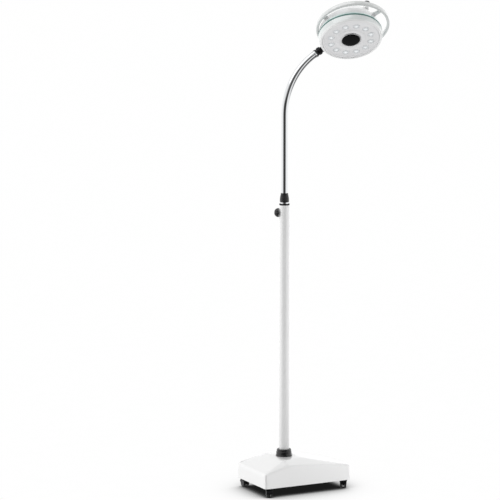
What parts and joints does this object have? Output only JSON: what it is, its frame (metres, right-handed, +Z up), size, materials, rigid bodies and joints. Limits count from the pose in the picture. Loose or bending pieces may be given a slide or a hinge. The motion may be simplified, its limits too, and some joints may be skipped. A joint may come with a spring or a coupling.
{
  "type": "surgical light",
  "caption": "Mobile LED examination light: weighted base on casters, telescoping pole with clamp knob, bent chrome arm, jointed round lamp head with handle hoop, teal light ring and dimmer.",
  "frame": {"origin": "middle of the object's outline on the floor, under the wheels", "axes": "+Z up, +X along the base's long side towards its far end from the pole, -Y to the front, where the lamp head reaches and faces down"},
  "size_m": [0.4988, 0.325, 1.808],
  "materials": {
    "base_cover_white_enamel": "gloss white enamel",
    "pole_tube_white_enamel": "gloss white enamel",
    "head_boss_white_enamel": "gloss white moulding",
    "front_bezel_white_enamel": "gloss white moulding",
    "back_cover_white_enamel": "gloss white moulding",
    "handle_ring_white_enamel": "gloss white moulding",
    "base_plate_cast_grey": "as cast, painted grey",
    "counterweight_cast_grey": "as cast, painted grey",
    "pole_socket_bright_steel": "machined",
    "clamp_boss_bright_steel": "machined",
    "clamp_screw_bright_steel": "machined",
    "stem_retainer_bright_steel": "machined",
    "dimmer_shaft_bright_steel": "machined",
    "pole_collar_black_plastic": "satin black",
    "power_inlet_black_plastic": "satin black",
    "switch_housing_black_plastic": "satin black",
    "pole_cap_black_plastic": "satin black",
    "clamp_knob_black_plastic": "satin black",
    "guide_bush_black_plastic": "satin black",
    "arm_nut_lower_black_plastic": "satin black",
    "arm_bush_lower_black_plastic": "satin black",
    "arm_nut_upper_black_plastic": "satin black",
    "arm_bush_upper_black_plastic": "satin black",
    "dimmer_control_black_plastic": "satin black",
    "dimmer_knob_black_plastic": "satin black",
    "knuckle_fork_black_plastic": "satin black paint on cast aluminium",
    "knuckle_link_black_plastic": "satin black paint on cast aluminium",
    "pivot_bolt_black_oxide": "black oxide",
    "pivot_nut_black_oxide": "black oxide",
    "power_supply_aluminium_fins": "satin",
    "heat_sink_aluminium_fins": "satin",
    "switch_rocker_black_gloss": "polished black",
    "sensor_window_black_gloss": "polished black",
    "inner_tube_chrome_plate": "bright plated",
    "arm_tube_chrome_plate": "bright plated",
    "sensor_bezel_chrome_plate": "bright plated",
    "arm_lead_wheel_rubber": "matt",
    "face_seal_wheel_rubber": "matt",
    "face_plate_face_silver": "satin silver",
    "lens_plate_lens_clear": "clear, polished",
    "led_board_board_green": "solder mask",
    "sensor_board_board_green": "solder mask",
    "light_ring_teal_acrylic": "translucent, polished",
    "caster_front_left_hood_black_plastic": "satin black",
    "caster_front_left_axle_bright_steel": "machined",
    "caster_front_left_wheel_near_wheel_rubber": "matt",
    "caster_front_left_wheel_far_wheel_rubber": "matt",
    "caster_front_right_hood_black_plastic": "satin black",
    "caster_front_right_axle_bright_steel": "machined",
    "caster_front_right_wheel_near_wheel_rubber": "matt",
    "caster_front_right_wheel_far_wheel_rubber": "matt",
    "caster_rear_left_hood_black_plastic": "satin black",
    "caster_rear_left_axle_bright_steel": "machined",
    "caster_rear_left_wheel_near_wheel_rubber": "matt",
    "caster_rear_left_wheel_far_wheel_rubber": "matt",
    "caster_rear_right_hood_black_plastic": "satin black",
    "caster_rear_right_axle_bright_steel": "machined",
    "caster_rear_right_wheel_near_wheel_rubber": "matt",
    "caster_rear_right_wheel_far_wheel_rubber": "matt"
  },
  "bodies": {
    "base": {"base_cover": "base_cover_white_enamel", "base_plate": "base_plate_cast_grey", "counterweight": "counterweight_cast_grey", "pole_socket": "pole_socket_bright_steel", "pole_collar": "pole_collar_black_plastic", "power_supply": "power_supply_aluminium_fins", "power_inlet": "power_inlet_black_plastic", "switch_housing": "switch_housing_black_plastic", "pole_tube": "pole_tube_white_enamel", "pole_cap": "pole_cap_black_plastic", "clamp_boss": "clamp_boss_bright_steel"},
    "switch": {"switch_rocker": "switch_rocker_black_gloss"},
    "clamp_screw_body": {"clamp_screw": "clamp_screw_bright_steel"},
    "clamp_knob_body": {"clamp_knob": "clamp_knob_black_plastic"},
    "swivel_front_left": {"caster_front_left_hood": "caster_front_left_hood_black_plastic"},
    "wheels_front_left": {"caster_front_left_axle": "caster_front_left_axle_bright_steel", "caster_front_left_wheel_near": "caster_front_left_wheel_near_wheel_rubber", "caster_front_left_wheel_far": "caster_front_left_wheel_far_wheel_rubber"},
    "swivel_front_right": {"caster_front_right_hood": "caster_front_right_hood_black_plastic"},
    "wheels_front_right": {"caster_front_right_axle": "caster_front_right_axle_bright_steel", "caster_front_right_wheel_near": "caster_front_right_wheel_near_wheel_rubber", "caster_front_right_wheel_far": "caster_front_right_wheel_far_wheel_rubber"},
    "swivel_rear_left": {"caster_rear_left_hood": "caster_rear_left_hood_black_plastic"},
    "wheels_rear_left": {"caster_rear_left_axle": "caster_rear_left_axle_bright_steel", "caster_rear_left_wheel_near": "caster_rear_left_wheel_near_wheel_rubber", "caster_rear_left_wheel_far": "caster_rear_left_wheel_far_wheel_rubber"},
    "swivel_rear_right": {"caster_rear_right_hood": "caster_rear_right_hood_black_plastic"},
    "wheels_rear_right": {"caster_rear_right_axle": "caster_rear_right_axle_bright_steel", "caster_rear_right_wheel_near": "caster_rear_right_wheel_near_wheel_rubber", "caster_rear_right_wheel_far": "caster_rear_right_wheel_far_wheel_rubber"},
    "column": {"inner_tube": "inner_tube_chrome_plate", "guide_bush": "guide_bush_black_plastic", "arm_nut_lower": "arm_nut_lower_black_plastic", "arm_bush_lower": "arm_bush_lower_black_plastic"},
    "arm": {"arm_tube": "arm_tube_chrome_plate", "arm_lead": "arm_lead_wheel_rubber", "arm_nut_upper": "arm_nut_upper_black_plastic", "arm_bush_upper": "arm_bush_upper_black_plastic"},
    "wrist": {"knuckle_fork": "knuckle_fork_black_plastic", "pivot_bolt": "pivot_bolt_black_oxide", "pivot_nut": "pivot_nut_black_oxide"},
    "link": {"knuckle_link": "knuckle_link_black_plastic", "stem_retainer": "stem_retainer_bright_steel"},
    "head": {"head_boss": "head_boss_white_enamel", "front_bezel": "front_bezel_white_enamel", "face_plate": "face_plate_face_silver", "face_seal": "face_seal_wheel_rubber", "lens_plate": "lens_plate_lens_clear", "led_board": "led_board_board_green", "heat_sink": "heat_sink_aluminium_fins", "sensor_window": "sensor_window_black_gloss", "sensor_bezel": "sensor_bezel_chrome_plate", "sensor_board": "sensor_board_board_green", "light_ring": "light_ring_teal_acrylic", "back_cover": "back_cover_white_enamel", "handle_ring": "handle_ring_white_enamel", "dimmer_control": "dimmer_control_black_plastic"},
    "dimmer": {"dimmer_knob": "dimmer_knob_black_plastic", "dimmer_shaft": "dimmer_shaft_bright_steel"}
  },
  "joints": [
    {"name": "switch_rock", "type": "hinge", "parent": "base", "child": "switch", "pos_m": [0.0021, 0.15322, 0.05956], "axis": [1, 0, 0], "range_deg": [-6, 6]},
    {"name": "clamp_turn", "type": "hinge", "parent": "clamp_screw_body", "child": "clamp_knob_body", "pos_m": [-0.1119, 0.0452, 1.0336], "axis": [-0.8829, 0.4695, 0], "range_deg": [0, 720]},
    {"name": "clamp_travel", "type": "slide", "parent": "base", "child": "clamp_screw_body", "axis": [-0.8829, 0.4695, 0], "range_m": [0, 0.0026]},
    {"name": "swivel_turn_front_left", "type": "hinge", "parent": "base", "child": "swivel_front_left", "pos_m": [-0.2234, -0.0483, 0], "axis": [0, 0, 1], "continuous": true},
    {"name": "wheel_roll_front_left", "type": "hinge", "parent": "swivel_front_left", "child": "wheels_front_left", "pos_m": [-0.22614, -0.05582, 0.01477], "axis": [0.9397, -0.342, 0], "continuous": true},
    {"name": "swivel_turn_front_right", "type": "hinge", "parent": "base", "child": "swivel_front_right", "pos_m": [0.0881, -0.0483, 0], "axis": [0, 0, 1], "continuous": true},
    {"name": "wheel_roll_front_right", "type": "hinge", "parent": "swivel_front_right", "child": "wheels_front_right", "pos_m": [0.09186, -0.04124, 0.01477], "axis": [-0.8829, 0.4695, 0], "continuous": true},
    {"name": "swivel_turn_rear_left", "type": "hinge", "parent": "base", "child": "swivel_rear_left", "pos_m": [-0.2234, 0.1367, 0], "axis": [0, 0, 1], "continuous": true},
    {"name": "wheel_roll_rear_left", "type": "hinge", "parent": "swivel_rear_left", "child": "wheels_rear_left", "pos_m": [-0.2234, 0.1447, 0.01477], "axis": [-1, 0, 0], "continuous": true},
    {"name": "swivel_turn_rear_right", "type": "hinge", "parent": "base", "child": "swivel_rear_right", "pos_m": [0.0881, 0.1367, 0], "axis": [0, 0, 1], "continuous": true},
    {"name": "wheel_roll_rear_right", "type": "hinge", "parent": "swivel_rear_right", "child": "wheels_rear_right", "pos_m": [0.08603, 0.12897, 0.01477], "axis": [0.9659, -0.2588, 0], "continuous": true},
    {"name": "column_lift", "type": "slide", "parent": "base", "child": "column", "axis": [0, 0, 1], "range_m": [-0.004, 0.4]},
    {"name": "arm_turn", "type": "hinge", "parent": "column", "child": "arm", "pos_m": [-0.1119, 0.0452, 1.09], "axis": [0, 0, 1], "range_deg": [-165, 165]},
    {"name": "wrist_turn", "type": "hinge", "parent": "arm", "child": "wrist", "pos_m": [0.03087, 0.0452, 1.62056], "axis": [0.848, 0, 0.5299], "range_deg": [-120, 120]},
    {"name": "link_tilt", "type": "hinge", "parent": "wrist", "child": "link", "pos_m": [0.03087, 0.0452, 1.62056], "axis": [0.5233, -0.1579, -0.8374], "range_deg": [-105, 12]},
    {"name": "head_spin", "type": "hinge", "parent": "link", "child": "head", "pos_m": [0.03087, 0.0452, 1.62056], "axis": [0.5099, -0.7294, 0.4561], "range_deg": [-90, 90]},
    {"name": "dimmer_turn", "type": "hinge", "parent": "head", "child": "dimmer", "pos_m": [0.15805, -0.0708, 1.7726], "axis": [0.3971, 0.3091, 0.8642], "range_deg": [0, 270]}
  ],
  "couplings": [
    {"joint": "clamp_travel", "follows": "clamp_turn", "m_per_rad": 0.00019894}
  ]
}
